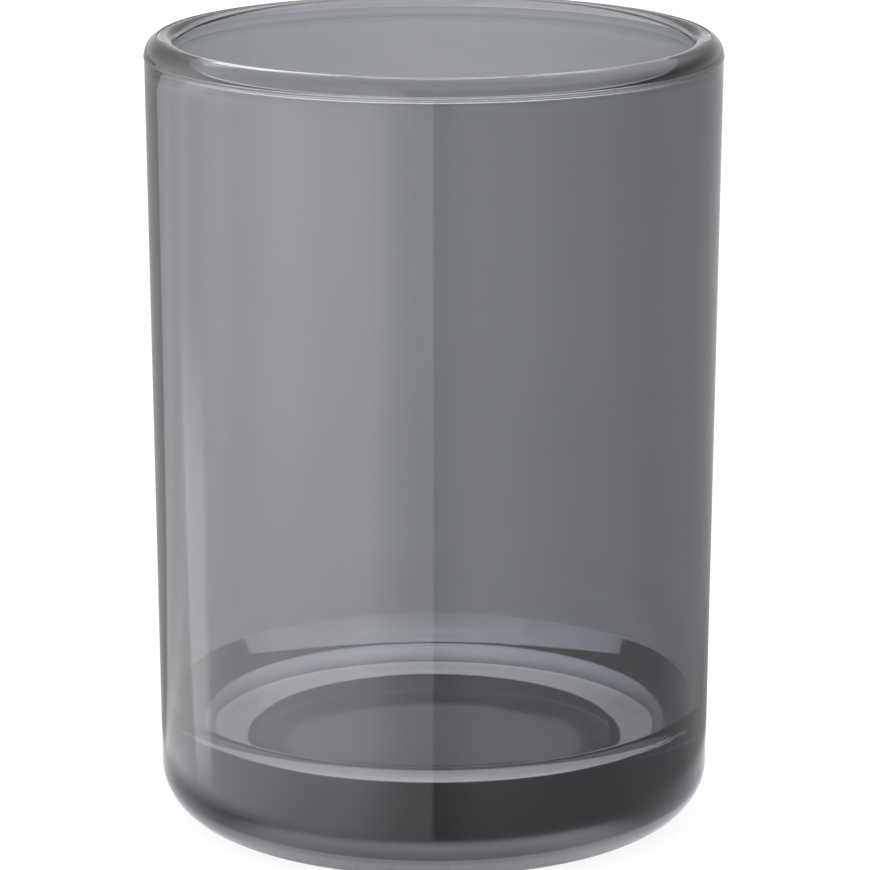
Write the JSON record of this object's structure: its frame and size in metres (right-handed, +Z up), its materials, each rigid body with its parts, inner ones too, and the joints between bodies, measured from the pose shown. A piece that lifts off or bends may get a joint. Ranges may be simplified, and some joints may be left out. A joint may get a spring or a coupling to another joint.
{
  "type": "bathroom tumbler",
  "caption": "Straight-sided smoke-tinted glass tumbler with a rounded rim, a thin wall and a thick solid base, for water or toothbrushes.",
  "frame": {"origin": "on the axis of the glass, in the plane of the standing ring", "axes": "+Z up along the axis of revolution, towards the rim; X and Y are alike"},
  "size_m": [0.0724, 0.0724, 0.1],
  "materials": {
    "clear_glass": "polished",
    "smoke_lacquer": "gloss, see-through smoke grey"
  },
  "bodies": {
    "root": {"glass_body": "clear_glass", "wall_film": "smoke_lacquer", "base_film": "smoke_lacquer"}
  },
  "joints": []
}
